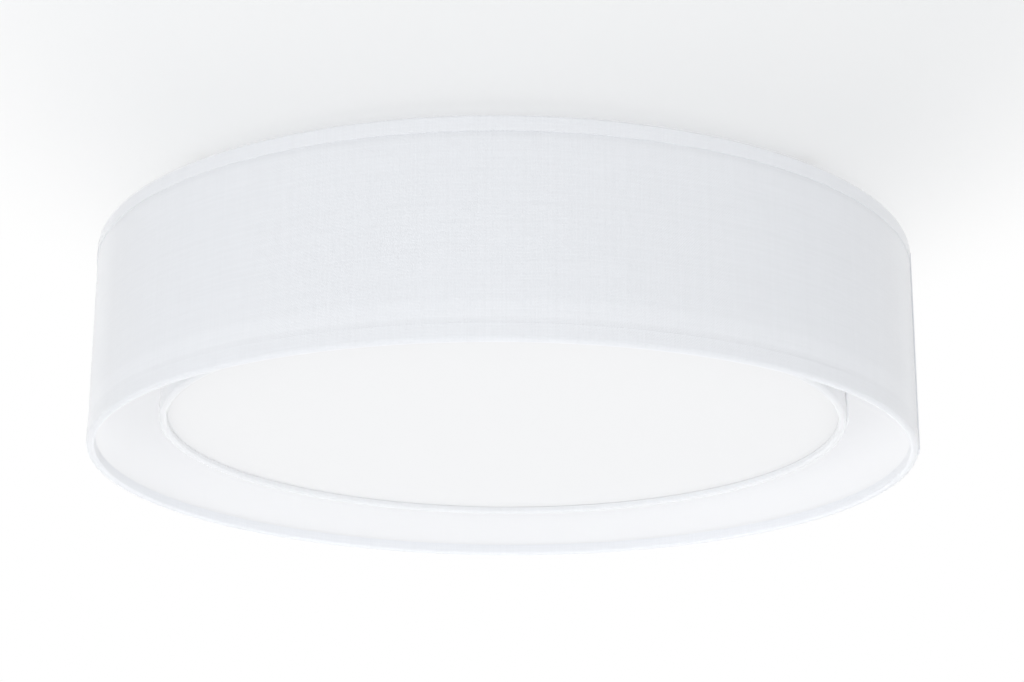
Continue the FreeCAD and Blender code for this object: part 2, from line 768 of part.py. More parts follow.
def make_nipples():
    """Hollow threaded nipples through the housing wall, with a nut on each side of it."""
    reach = 6
    start = housing_radius - reach
    end = cap_start + reach
    bore, thread = sheet.nipple_bore / 2, sheet.nipple_thread / 2
    nipples = new_body("nipples", height=lamp_height)
    turned = revolve(nipples, rectangle(start, end, bore, thread), axis="H_Axis")
    repeat(nipples, [turned], AROUND)
    nuts = new_body("nipple_nuts", height=lamp_height)
    inner_nut_start = housing_radius - 2 * sheet.housing_wall - sheet.nut_thickness
    pads = [pad(nuts, start, sheet.nut_thickness, plane="YZ_Plane",
                outlines=[hexagon(sheet.nut_width)], circles=[(0, 0, thread + gap)])
            for start in (inner_nut_start, outer_nut_start)]
    repeat(nuts, pads, AROUND)


def make_lampholder(number, turn):
    """Cap, body and screw shell of one lampholder, along X before it is turned."""
    radius = sheet.holder_diameter / 2
    wall = 1.8
    base_thickness = 3
    nipple = sheet.nipple_thread / 2 + gap
    dome = 8
    dome_radius = 8.5
    shoulder = cap_start + dome
    base_inside = cap_start + base_thickness
    cap = new_body(f"lampholder_cap_{number}", height=lamp_height, turn=turn)
    revolve(cap, [
        (cap_start, nipple), (base_inside, nipple), (base_inside, radius - dome),
        (shoulder, radius - wall), (body_start, radius - wall), (body_start, radius),
        (shoulder, radius, dome_radius), (cap_start, radius - dome)], axis="H_Axis")

    bore = sheet.holder_mouth / 2
    wire_hole = 2.5
    rim, rim_chamfer, rim_step = 12, 1.5, 1
    body = new_body(f"lampholder_body_{number}", height=lamp_height, turn=turn)
    revolve(body, [
        (body_start, wire_hole), (shell_start, wire_hole), (shell_start, bore), (mouth, bore),
        (mouth, radius - rim_step - rim_chamfer), (mouth - rim_chamfer, radius - rim_step),
        (mouth - rim, radius - rim_step), (mouth - rim, radius), (body_start, radius)],
        axis="H_Axis")

    shell_play, shell_sheet, contact_opening = 0.5, 0.8, 9
    shell_face = bore - screw_play
    shell_inside = sheet.bulb_thread / 2 + shell_play
    shell_end = mouth - 5
    shell = new_body(f"screw_shell_{number}", height=lamp_height, turn=turn)
    revolve(shell, [
        (shell_start, contact_opening), (shell_start + shell_sheet, contact_opening),
        (shell_start + shell_sheet, shell_inside), (shell_end, shell_inside),
        (shell_end, shell_face), (shell_start, shell_face)], axis="H_Axis")


def make_contacts():
    """The centre contacts at the bottom of the lampholders."""
    radius = 4
    contacts = new_body("centre_contacts", height=lamp_height)
    turned = revolve(contacts, rectangle(shell_start, shell_start + contact_height, 0, radius),
                     axis="H_Axis")
    repeat(contacts, [turned], AROUND)


def make_bulb(number, turn):
    """Cap and glass globe of one bulb, along X before it is turned."""
    crest = sheet.bulb_thread / 2
    root = crest - 0.9
    pitch = 3.6
    ridges = 5
    tip_face, tip_radius, tip_height = 3.5, 4.8, 1.2
    thread_start = bulb_tip + 4.4
    shoulder = crest - 2.1
    neck = crest - 0.1
    hollow = crest - 2
    hollow_start = thread_start + 3
    cap = new_body(f"bulb_cap_{number}", height=lamp_height, turn=turn)
    profile = [(bulb_tip, 0), (bulb_tip, tip_face), (bulb_tip + tip_height, tip_radius),
               (thread_start, shoulder)]
    for ridge in range(ridges):
        foot = thread_start + pitch * ridge
        profile.append((foot, root))
        profile.append((foot + pitch * 0.25, crest))
        profile.append((foot + pitch * 0.6, crest))
        profile.append((foot + pitch * 0.85, root))
    profile += [(thread_start + pitch * ridges, root), (thread_start + pitch * ridges, neck),
                (bulb_cap_end, neck), (bulb_cap_end, hollow), (hollow_start, hollow),
                (hollow_start, 0)]
    revolve(cap, profile, axis="H_Axis")

    glass = sheet.glass_wall
    radius = sheet.bulb_diameter / 2
    centre = bulb_end - radius
    slant = math.sqrt(0.5)
    neck_bend = bulb_cap_end + 5
    flare = 46
    globe = new_body(f"bulb_globe_{number}", height=lamp_height, turn=turn)
    revolve(globe, [
        (bulb_cap_end, neck), (bulb_cap_end, neck - glass),
        (neck_bend, neck - glass, flare + glass),
        (centre - (radius - glass) * slant, (radius - glass) * slant, -(radius - glass)),
        (centre + radius - glass, 0), (bulb_end, 0, radius),
        (centre - radius * slant, radius * slant, as_size(-flare)),
        (neck_bend, neck)], axis="H_Axis")


# ---------------------------------------------------------------- assembly

make_plate()
make_grommet()
make_housing()
make_terminal_block()
make_wiring()
make_bushes()
make_nipples()
make_contacts()
for bulb in range(AROUND):
    make_lampholder(bulb + 1, QUARTER_TURN * bulb)
    make_bulb(bulb + 1, QUARTER_TURN * bulb)
make_drum(outer)
make_drum(inner)
make_straps()
make_diffuser()
make_thumb_screws()
document.recompute()


def check_document():
    """Stop if any object failed, or if a sub-part has no valid solid."""
    for item in document.Objects:
        if {"Invalid", "Error"} & set(item.State):
            raise RuntimeError(f"{item.Label} failed: {item.State}")
    for label, item in sub_parts.items():
        if item.Shape.isNull() or not item.Shape.isValid() or not item.Shape.Solids:
            raise RuntimeError(f"{label} has no valid solid")


check_document()
os.makedirs("parts", exist_ok=True)
for label, item in sub_parts.items():
    item.Shape.exportStep(f"parts/{label}.step")
    print(f"{label}: {len(item.Shape.Solids)} solid(s), {item.Shape.Volume:.0f} mm3")
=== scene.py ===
"""Looks, stage, light and camera of a flush mount ceiling light with two fabric drums."""

import logging
import math
from collections.abc import Callable, Iterable, Sequence
from dataclasses import dataclass
from enum import Enum

import bpy
from mathutils import Euler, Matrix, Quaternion, Vector


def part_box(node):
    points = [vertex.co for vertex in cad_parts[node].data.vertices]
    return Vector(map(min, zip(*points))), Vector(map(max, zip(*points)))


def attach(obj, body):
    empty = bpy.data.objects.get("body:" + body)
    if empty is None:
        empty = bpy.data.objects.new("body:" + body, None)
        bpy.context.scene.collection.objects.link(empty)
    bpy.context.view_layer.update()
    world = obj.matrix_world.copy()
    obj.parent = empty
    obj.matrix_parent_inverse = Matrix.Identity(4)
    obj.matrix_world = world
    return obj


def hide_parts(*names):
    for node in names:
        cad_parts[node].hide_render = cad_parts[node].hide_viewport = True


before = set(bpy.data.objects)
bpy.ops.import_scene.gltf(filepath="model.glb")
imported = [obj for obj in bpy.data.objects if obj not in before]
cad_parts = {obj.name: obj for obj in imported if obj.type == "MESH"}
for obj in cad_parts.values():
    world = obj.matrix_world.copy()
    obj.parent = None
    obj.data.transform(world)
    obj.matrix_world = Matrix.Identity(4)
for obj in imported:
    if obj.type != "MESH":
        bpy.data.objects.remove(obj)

logging.basicConfig(level=logging.INFO, format="%(message)s")
log = logging.getLogger("ceiling_light")

Station = tuple[float, float]       # (radius, height) of one ring of a turned piece
Place = tuple[float, float, float]
Colour = tuple[float, float, float]
Material = bpy.types.Material
Piece = bpy.types.Object

MM = 0.001
QUARTER_TURN = math.pi / 2
AROUND = 4                          # arms, straps, thumb screws, lampholders and bulbs
WELD = 1e-6                         # points this near to each other are one
LEVEL = 1e-7                        # points this near in height are on one ring
FLAT_ANGLE = math.radians(0.5)      # faces that meet below it are merged
SHARP_ANGLE = math.radians(38)      # edges above it are broken
WHITE: Colour = (1.0, 1.0, 1.0)


class Edge(Enum):
    """Which rim of a drum a hem goes round. The value is the way into the drum, along Z."""

    TOP = -1
    BOTTOM = 1


class Easing(Enum):
    """How a value goes from one level to another."""

    SMOOTH = "SMOOTHSTEP"
    SMOOTHER = "SMOOTHERSTEP"


class DrumPlace(Enum):
    """The two drums. The value is what the names of their CAD nodes start with."""

    OUTER = "outer"
    INNER = "inner"


# ---------------- shader building

class Socket:
    """A shader value that adds Math nodes when it is used in arithmetic."""

    def __init__(self, shader: "Shader", link: bpy.types.NodeSocket) -> None:
        """Wrap an output socket of a shader."""
        self.shader = shader
        self.link = link

    def __add__(self, other: "Socket | float") -> "Socket":
        """Sum with a value or number."""
        return self.shader.math("ADD", self, other)

    def __sub__(self, other: "Socket | float") -> "Socket":
        """Difference from a value or number."""
        return self.shader.math("SUBTRACT", self, other)

    def __rsub__(self, other: "Socket | float") -> "Socket":
        """A number less this value."""
        return self.shader.math("SUBTRACT", other, self)

    def __mul__(self, other: "Socket | float") -> "Socket":
        """Product with a value or number."""
        return self.shader.math("MULTIPLY", self, other)

    def __truediv__(self, other: "Socket | float") -> "Socket":
        """Quotient by a value or number."""
        return self.shader.math("DIVIDE", self, other)

    def __rtruediv__(self, other: "Socket | float") -> "Socket":
        """A number divided by this value."""
        return self.shader.math("DIVIDE", other, self)

    def __abs__(self) -> "Socket":
        """Absolute value."""
        return self.shader.math("ABSOLUTE", self)

    __radd__ = __add__
    __rmul__ = __mul__


class Shader:
    """The nodes of one material or world, built from expressions on sockets."""

    def __init__(self, owner: Material | bpy.types.World) -> None:
        """Empty the owner's node tree.

        Args:
            owner: The material or world.
        """
        owner.use_nodes = True
        self.owner = owner
        self.tree = owner.node_tree
        self.tree.nodes.clear()

    @classmethod
    def named(cls, name: str) -> "Shader":
        """The nodes of a new material of that name."""
        return cls(bpy.data.materials.new(name))

    def add(self, kind: str, settings: dict | None = None,
            inputs: dict | None = None) -> bpy.types.Node:
        """Add a node of any kind.

        Args:
            kind: The node's type name.
            settings: Its properties, which are set first.
            inputs: Socket name or number to a value or another socket.

        Returns:
            The node.
        """
        made = self.tree.nodes.new(kind)
        for name, value in (settings or {}).items():
            setattr(made, name, value)
        for name, value in (inputs or {}).items():
            if isinstance(value, Socket):
                self.tree.links.new(value.link, made.inputs[name])
            else:
                made.inputs[name].default_value = value
        return made

    def node(self, kind: str, settings: dict | None = None, inputs: dict | None = None,
             output: int | str = 0) -> Socket:
        """Add a node for one of its outputs, which is given by name or number."""
        return Socket(self, self.add(kind, settings, inputs).outputs[output])

    def math(self, operation: str, *values: Socket | float) -> Socket:
        """A Math node on one, two or three values."""
        return self.node("ShaderNodeMath", {"operation": operation}, dict(enumerate(values)))

    def place(self) -> tuple[Socket, Socket, Socket, Socket]:
        """Find the shaded point in the row frame.

        Returns:
            The point as a vector, and its three coordinates.
        """
        point = self.node("ShaderNodeTexCoord", output="Object")
        split = {"inputs": {"Vector": point}}
        axes = [self.node("ShaderNodeSeparateXYZ", output=axis, **split) for axis in "XYZ"]
        return (point, *axes)

    def noise(self, vector: Socket, scale: float, detail: float = 2.0,
              roughness: float = 0.5) -> Socket:
        """Smooth noise.

        Args:
            vector: The place that it is read at.
            scale: Waves in a metre, or in a unit of the place.
            detail: Number of finer layers.
            roughness: Strength of each layer beside the one before.

        Returns:
            A value from 0 to 1.
        """
        return self.node("ShaderNodeTexNoise", {"noise_dimensions": "3D"},
                         {"Vector": vector, "Scale": scale, "Detail": detail,
                          "Roughness": roughness}, "Fac")

    def ease(self, value: Socket, span: tuple[float, float],
             levels: tuple[float, float] = (0.0, 1.0),
             easing: Easing = Easing.SMOOTH) -> Socket:
        """Go smoothly from one level to another while a value crosses a span.

        Args:
            value: The value.
            span: Where the change starts and ends.
            levels: The result before and after it.
            easing: How it starts and ends.

        Returns:
            The result.
        """
        return self.node("ShaderNodeMapRange", {"interpolation_type": easing.value},
                         {"Value": value, "From Min": span[0], "From Max": span[1],
                          "To Min": levels[0], "To Max": levels[1]})

    def vector(self, x: Socket | float, y: Socket | float, z: Socket | float) -> Socket:
        """A vector from three values."""
        return self.node("ShaderNodeCombineXYZ", inputs={"X": x, "Y": y, "Z": z})

    def tint(self, colour: Colour, brightness: Socket) -> Socket:
        """A colour made lighter or darker by a factor near 1."""
        return self.node("ShaderNodeVectorMath", {"operation": "SCALE"},
                         {0: colour, "Scale": brightness})

    def bump(self, height: Socket, distance: float) -> Socket:
        """A normal from a height that runs from 0 to 1 over a distance in metres."""
        return self.node("ShaderNodeBump",
                         inputs={"Height": height, "Distance": distance, "Strength": 1.0})

    def seen(self) -> Socket:
        """Tell the rays that show a thing from those that only light another.

        Returns:
            1 for camera, glossy and transmission rays, and 0 for the rest.
        """
        camera, gloss, glass = (self.node("ShaderNodeLightPath", output=f"Is {kind} Ray")
                                for kind in ("Camera", "Glossy", "Transmission"))
        return self.math("MAXIMUM", self.math("MAXIMUM", camera, gloss), glass)

    def close(self, surface: Socket) -> None:
        """Make a shader the surface of the material or the world's background."""
        kind = "World" if isinstance(self.owner, bpy.types.World) else "Material"
        self.add(f"ShaderNodeOutput{kind}", inputs={"Surface": surface})

    def finish(self, **inputs: Socket | float | Colour) -> Material:
        """Close the material with a Principled shader.

        Args:
            inputs: Its sockets by name, with an underscore for each space.

        Returns:
            The material.
        """
        named = {key.replace("_", " "): value for key, value in inputs.items()}
        for key, value in named.items():
            if key.endswith("Color") and isinstance(value, tuple):
                named[key] = (*value, 1.0)
        self.close(self.node("ShaderNodeBsdfPrincipled", inputs=named))
        return self.owner


# ---------------- finishes

@dataclass(frozen=True)
class WovenCloth:
    """Plain woven cloth wrapped round the Z axis, with uneven threads."""

    name: str
    colour: Colour
    radius: float
    tape_edges: tuple[float, float]     # heights of the hem tapes' edges, low and high
    thread: float = 0.85 * MM           # from one warp thread to the next
    weft_pitch: float = 1.1             # the same for the weft, in warp threads
    wander: float = 1.6                 # how far the threads stray, in warp threads
    contrast: float = 0.05              # between light and dark threads
    relief: float = 0.12 * MM
    painted_sheen: float = 0.09                  # painted sheen: how much lighter its colour is where it is seen edge-on
    painted_sheen_facing: tuple[float, float] = (0.70, 0.86)     # where that painted sheen starts and is full
    edge_reach: float = 7 * MM          # of the painted shade strip beside a tape
    edge_depth: float = 0.045           # how dark that painted shade is
    edge_fall: float = 4.0              # how much faster it fades under the tape
    glow: float = 0.0                   # painted glow for light that comes through it, as a share of white
    low_glow: float = 0.0               # more painted glow just above the low tape
    low_reach: float = 26 * MM
    inner_glow: float = 0.0             # painted glow for light that comes through it inside the ring
    ring_line: float = 0.0              # radius of the ring that it is rolled round
    ring_fade: tuple[float, float] = (2.0 * MM, 0.3 * MM)   # from there inwards

    def material(self) -> Material:
        """Build the cloth with its crossing threads, slubs and fibre sheen, a painted sheen
        where it is seen edge-on, painted shade beside the tapes and a painted glow.

        Returns:
            The material.
        """
        shader = Shader.named(self.name)
        point, x, y, z = shader.place()
        around = shader.math("ARCTAN2", y, x) * self.radius
        reach = shader.math("SQRT", x * x + y * y)
        along = z + reach
        drift = (shader.noise(point, 45.0) - 0.5) * (self.wander * self.thread)
        warp = (around + drift) / self.thread
        weft = (along + drift) / (self.thread * self.weft_pitch)
        warp_wave = shader.math("SINE", warp * math.pi)
        weft_wave = shader.math("SINE", weft * math.pi)
        over = shader.math("GREATER_THAN", warp_wave * weft_wave, 0.0)
        ridge = abs(warp_wave) * over + abs(weft_wave) * (1 - over)
        warp_tone = self._thread_tone(shader, warp, along)
        weft_tone = self._thread_tone(shader, weft + 517.0, around)
        tone = (warp_tone * (0.55 + over * 0.45) + weft_tone * (1 - over * 0.45)) / 2.0
        cloud = shader.noise(point, 9.0, 3.0) - 0.5
        outside = shader.ease(reach, (self.ring_line - self.ring_fade[0],
                                      self.ring_line - self.ring_fade[1]))
        # painted sheen: the cloth's colour is made lighter where it is seen edge-on
        facing = shader.node("ShaderNodeLayerWeight", inputs={"Blend": 0.5}, output="Facing")
        painted_sheen = shader.ease(facing, self.painted_sheen_facing, (0.0, self.painted_sheen)) * outside
        # the hollows between the threads are painted a little darker than the crowns: painted
        # shade in the weave
        brightness = 1 + (tone - 0.5) * (2 * self.contrast) + (ridge - 0.7) * 0.04
        # painted shade beside the tapes is taken off here, and the painted sheen seen edge-on
        # is added
        brightness = brightness + cloud * 0.02 - self._edge_shade(shader, z) + painted_sheen
        return shader.finish(
            Base_Color=shader.tint(self.colour, brightness),
            Roughness=0.68 - ridge * 0.08,
            Normal=shader.bump(ridge * 0.8 + tone * 0.4, self.relief),
            Specular_IOR_Level=0.5, Sheen_Weight=1.0, Sheen_Roughness=0.3,
            Emission_Color=self._light_through(shader, outside, z), Emission_Strength=1.0)

    def _light_through(self, shader: Shader, outside: Socket, z: Socket) -> Socket:
        """Painted glow that stands for light coming through the cloth, as an emission colour.

        Args:
            shader: The material that is being built.
            outside: 0 on the side that looks into the drum, and 1 elsewhere.
            z: Height of the shaded point.

        Returns:
            The colour.
        """
        through = self.inner_glow + outside * (self.glow - self.inner_glow)
        low = shader.ease(z - self.tape_edges[0], (0.0, self.low_reach),
                          (self.low_glow, 0.0))
        return shader.tint(WHITE, through + low)

    def _edge_shade(self, shader: Shader, z: Socket) -> Socket:
        """Painted shade: darker cloth beside the tapes, where the real cloth dips under them.

        Args:
            shader: The material that is being built.
            z: Height of the shaded point.

        Returns:
            What is taken from the brightness.
        """
        low, high = self.tape_edges
        from_low = shader.math("MAXIMUM", z - low, (low - z) * self.edge_fall)
        from_high = shader.math("MAXIMUM", high - z, (z - high) * self.edge_fall)
        return shader.ease(shader.math("MINIMUM", from_low, from_high),
                           (0.0, self.edge_reach), (self.edge_depth, 0.0), Easing.SMOOTHER)

    def _thread_tone(self, shader: Shader, across: Socket, along: Socket) -> Socket:
        """Lightness of each thread, with slubs along it.

        Args:
            shader: The material that is being built.
            across: Thread count across the threads.
            along: Metres along the threads.

        Returns:
            A value from 0 to 1.
        """
        thread = shader.math("FLOOR", across)
        each = shader.node("ShaderNodeTexWhiteNoise", {"noise_dimensions": "1D"},
                           {"W": thread}, "Value")
        slub = shader.noise(shader.vector(thread * 0.37, along * 55.0, each * 9.0), 1.0, 2.0)
        return each * 0.45 + slub * 0.8 - 0.12


@dataclass(frozen=True)
class StiffFilm:
    """Translucent film behind the cloth, with the weave faintly pressed through and a painted
    glow for the light that comes through it.
    """

    name: str
    colour: Colour
    radius: float
    fine: float = 900.0             # marks in a metre across a thread
    long: float = 60.0              # and along it
    glow: float = 0.445             # painted glow for light that comes through it, as a share of white

    def material(self) -> Material:
        """Build the film.

        Returns:
            The material.
        """
        shader = Shader.named(self.name)
        point, x, y, z = shader.place()
        around = shader.math("ARCTAN2", y, x) * self.radius
        threads = shader.noise(shader.vector(around * self.fine, z * self.long, 0.0), 1.0, 1.0)
        rows = shader.noise(shader.vector(around * self.long, z * self.fine, 3.0), 1.0, 1.0)
        cloud = shader.noise(point, 6.0, 2.0)
        brightness = 0.965 + (threads + rows) * 0.025 + cloud * 0.02
        return shader.finish(
            Base_Color=shader.tint(self.colour, brightness),
            Roughness=0.42 + cloud * 0.1,
            Normal=shader.bump(threads + rows, 0.02 * MM),
            Specular_IOR_Level=0.4,
            Emission_Color=WHITE, Emission_Strength=self.glow)


@dataclass(frozen=True)
class OpalSheet:
    """Satin opal plastic or glass, very slightly uneven."""

    name: str
    colour: Colour
    roughness: float = 0.45
    coat: float = 0.0
    glow: float = 0.0               # painted glow for light that comes through it, as a share of white

    def material(self) -> Material:
        """Build the opal finish.

        Returns:
            The material.
        """
        shader = Shader.named(self.name)
        point, *_ = shader.place()
        cloud = shader.noise(point, 3.0, 2.0)
        grain = shader.noise(point, 900.0, 2.0)
        return shader.finish(
            Base_Color=shader.tint(self.colour, 0.99 + cloud * 0.015 + grain * 0.005),
            Roughness=self.roughness + (grain - 0.5) * 0.08,
            Normal=shader.bump(grain, 0.004 * MM),
            Coat_Weight=self.coat, Coat_Roughness=0.06,
            Emission_Color=WHITE, Emission_Strength=self.glow)


@dataclass(frozen=True)
class PowderCoat:
    """Baked powder paint with its fine orange peel and a little dust."""

    name: str
    colour: Colour

    def material(self) -> Material:
        """Build the paint.

        Returns:
            The material.
        """
        shader = Shader.named(self.name)
        point, *_ = shader.place()
        peel = shader.noise(point, 1400.0, 2.0)
        dust = shader.noise(point, 24.0, 4.0, 0.6)
        return shader.finish(
            Base_Color=shader.tint(self.colour, 0.97 + dust * 0.05),
            Roughness=0.36 + dust * 0.14,
            Normal=shader.bump(peel, 0.03 * MM),
            Coat_Weight=0.15, Coat_Roughness=0.2)


@dataclass(frozen=True)
class PlatedMetal:
    """Zinc, nickel or brass with fine turning marks and faint stains."""

    name: str
    colour: Colour
    roughness: float = 0.28

    def material(self) -> Material:
        """Build the metal.

        Returns:
            The material.
        """
        shader = Shader.named(self.name)
        point, *_ = shader.place()
        marks = shader.noise(point, 2600.0, 3.0)
        stain = shader.noise(point, 90.0, 4.0, 0.6)
        return shader.finish(
            Base_Color=shader.tint(self.colour, 0.9 + stain * 0.18),
            Metallic=1.0,
            Roughness=self.roughness + (stain - 0.5) * 0.14 + marks * 0.05,
            Normal=shader.bump(marks, 0.01 * MM))


@dataclass(frozen=True)
class MouldedPlastic:
    """Moulded thermoplastic, from glossy to rubbery."""

    name: str
    colour: Colour
    roughness: float = 0.3
    grain: float = 0.01 * MM

    def material(self) -> Material:
        """Build the plastic.

        Returns:
            The material.
        """
        shader = Shader.named(self.name)
        point, *_ = shader.place()
        grain = shader.noise(point, 1800.0, 2.0)
        flow = shader.noise(point, 60.0, 2.0)
        return shader.finish(
            Base_Color=shader.tint(self.colour, 0.97 + flow * 0.05),
            Roughness=self.roughness + (flow - 0.5) * 0.08,
            Normal=shader.bump(grain, self.grain))


# ---------------- modelling

def radii(node: str) -> tuple[float, float]:
    """Smallest and largest distance of a CAD node's points from the Z axis, in metres."""
    reach = [math.hypot(v.co.x, v.co.y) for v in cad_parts[node].data.vertices]
    return min(reach), max(reach)


def heights(node: str) -> tuple[float, float]:
    """Lowest and highest point of a CAD node, in metres."""
    low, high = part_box(node)
    return low.z, high.z


def arc(start: Station, end: Station, radius: float, steps: int) -> list[Station]:
    """Points on the short arc after start and up to end.

    Args:
        start: First point, which isn't in the result.
        end: Last point, which is.
        radius: Positive where the arc's centre is on the left of the way, else negative.
        steps: Number of points.

    Returns:
        The points.
    """
    first, last = Vector(start), Vector(end)
    chord = last - first
    left = Vector((-chord.y, chord.x)).normalized()
    depth = math.sqrt(max(radius ** 2 - (chord.length / 2) ** 2, 0.0))
    centre = (first + last) / 2 + left * math.copysign(depth, radius)
    begin = math.atan2(first.y - centre.y, first.x - centre.x)
    turn = 2 * math.asin(min(chord.length / 2 / abs(radius), 1.0)) * math.copysign(1, radius)
    angles = [begin + turn * step / steps for step in range(1, steps + 1)]
    return [(centre.x + abs(radius) * math.cos(a), centre.y + abs(radius) * math.sin(a))
            for a in angles]


def leave_edit() -> None:
    """Go from edit mode to object mode."""
    bpy.ops.object.mode_set(mode="OBJECT")


def deselect_all() -> None:
    """Leave object mode with nothing selected."""
    if bpy.context.object and bpy.context.object.mode != "OBJECT":
        leave_edit()
    bpy.ops.object.select_all(action="DESELECT")


def select_only(piece: Piece) -> None:
    """Select one object alone and make it the active one.

    Args:
        piece: The object.
    """
    deselect_all()
    piece.select_set(True)
    bpy.context.view_layer.objects.active = piece


def edit_all(piece: Piece) -> None:
    """Open a piece in edit mode with all of it selected.

    Args:
        piece: The piece.
    """
    select_only(piece)
    bpy.ops.object.mode_set(mode="EDIT")
    bpy.ops.mesh.select_all(action="SELECT")


def pick_vertices(piece: Piece, test: Callable[[Vector], bool]) -> None:
    """Select the vertices that pass a test, and return to edit mode.

    Args:
        piece: The piece, open in edit mode.
        test: Tells from a vertex's place whether it is picked.
    """
    bpy.ops.mesh.select_mode(type="VERT")
    bpy.ops.mesh.select_all(action="DESELECT")
    leave_edit()
    for vertex in piece.data.vertices:
        vertex.select = test(vertex.co)
    bpy.ops.object.mode_set(mode="EDIT")


def turned(name: str, stations: Sequence[Station], segments: int) -> Piece:
    """A piece turned about Z, from one ring that is extruded and scaled station by station.

    Args:
        name: The piece's name.
        stations: (radius, height) of each ring. A radius of 0 closes that end in a pole.
        segments: Points of a ring.

    Returns:
        The piece, with its faces outwards.
    """
    deselect_all()
    rings = list(stations)
    start_pole = rings.pop(0) if rings[0][0] == 0 else None
    end_pole = rings.pop() if rings[-1][0] == 0 else None
    radius, height = first_radius, first_height = rings[0]
    bpy.ops.mesh.primitive_circle_add(vertices=segments, radius=radius,
                                      location=(0, 0, height), fill_type="NOTHING")
    piece = bpy.context.object
    piece.name = piece.data.name = name
    bpy.ops.object.transform_apply(location=True, rotation=True, scale=True)
    edit_all(piece)
    for next_radius, next_height in rings[1:]:
        extrude_ring(next_height - height, next_radius / radius, next_height)
        radius, height = next_radius, next_height
    if end_pole:
        close_pole(height, end_pole[1])
    if start_pole:
        pick_vertices(piece, lambda co: abs(co.z - first_height) < LEVEL
                      and abs(math.hypot(co.x, co.y) - first_radius) < WELD)
        close_pole(first_height, start_pole[1])
    bpy.ops.mesh.select_all(action="SELECT")
    bpy.ops.mesh.remove_doubles(threshold=WELD)
    bpy.ops.mesh.normals_make_consistent(inside=False)
    leave_edit()
    return piece


def extrude_ring(rise: float, scale: float, height: float) -> None:
    """Extrude the selected ring along the Z axis and scale it about that axis.

    Args:
        rise: How far it goes up.
        scale: How much wider it gets.
        height: Where it ends.
    """
    bpy.ops.mesh.extrude_region_move(TRANSFORM_OT_translate={"value": (0, 0, rise)})
    if scale != 1:
        bpy.ops.transform.resize(value=(scale, scale, 1), center_override=(0, 0, height))


def close_pole(height: float, pole: float) -> None:
    """Extrude the selected ring to a pole on the Z axis."""
    bpy.ops.mesh.extrude_region_move(TRANSFORM_OT_translate={"value": (0, 0, pole - height)})
    bpy.ops.mesh.merge(type="CENTER")


def face_outwards(piece: Piece) -> None:
    """Turn a piece's faces so that its outermost one looks away from the Z axis.

    Args:
        piece: A piece whose faces agree with each other.
    """
    outermost = max(piece.data.polygons,
                    key=lambda face: math.hypot(face.center.x, face.center.y))
    if Vector((outermost.center.x, outermost.center.y, 0)).dot(outermost.normal) <= 0:
        edit_all(piece)
        bpy.ops.mesh.flip_normals()
        leave_edit()


def modify(piece: Piece, kind: str, **settings: object) -> None:
    """Add a modifier and apply it.

    Args:
        piece: The piece.
        kind: The modifier's type name.
        settings: Its properties.
    """
    select_only(piece)
    modifier = piece.modifiers.new(kind.title(), kind)
    for name, value in settings.items():
        setattr(modifier, name, value)
    bpy.ops.object.modifier_apply(modifier=modifier.name)


def smooth(piece: Piece, angle: float = 35.0) -> None:
    """Shade a piece smooth up to an angle in degrees."""
    select_only(piece)
    bpy.ops.object.shade_smooth_by_angle(angle=math.radians(angle))


def roughen(piece: Piece, size: float, depth: float) -> None:
    """Move a soft piece's surface in and out a little.

    Args:
        piece: The piece.
        size: Length of the waves.
        depth: How far they go, from the lowest to the highest.
    """
    waves = bpy.data.textures.new(f"{piece.name}_waves", "CLOUDS")
    waves.noise_scale = size
    modify(piece, "DISPLACE", texture=waves, strength=depth, mid_level=0.5,
           texture_coords="LOCAL")


def refined(node: str, bevel: float) -> Piece:
    """A merged copy of a CAD node with its edges broken, which stands for the node.

    Args:
        node: The CAD node.
        bevel: Width of the broken edges, in metres.

    Returns:
        The piece, named as the node with _finished.
    """
    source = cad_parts[node]
    piece = bpy.data.objects.new(f"{node}_finished", source.data.copy())
    bpy.context.scene.collection.objects.link(piece)
    select_only(piece)
    piece.data.materials.clear()
    if piece.data.has_custom_normals:
        bpy.ops.mesh.customdata_custom_splitnormals_clear()
    edit_all(piece)
    bpy.ops.mesh.remove_doubles(threshold=WELD)
    bpy.ops.mesh.dissolve_limited(angle_limit=FLAT_ANGLE)
    leave_edit()
    modify(piece, "BEVEL", width=bevel, segments=2, limit_method="ANGLE",
           angle_limit=SHARP_ANGLE, use_clamp_overlap=True)
    smooth(piece)
    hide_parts(node)
    return piece


def dress(piece: Piece, material: Material, body: str) -> None:
    """Give a piece its finish and report it.

    Args:
        piece: The piece.
        material: Its material.
        body: The CAD body that it rides on.
    """
    piece.data.materials.clear()
    piece.data.materials.append(material)
    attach(piece, body)
    log.info("%s: %d faces, rides on %s", piece.name, len(piece.data.polygons), body)


def paint_nodes(nodes: Iterable[str], material: Material) -> None:
    """Give CAD nodes that stay in sight their finish and report them.

    Args:
        nodes: Their names.
        material: Their material.
    """
    for node in nodes:
        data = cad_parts[node].data
        data.materials.clear()
        data.materials.append(material)
        log.info("%s: CAD node in %s", node, material.name)


# ---------------- the drums

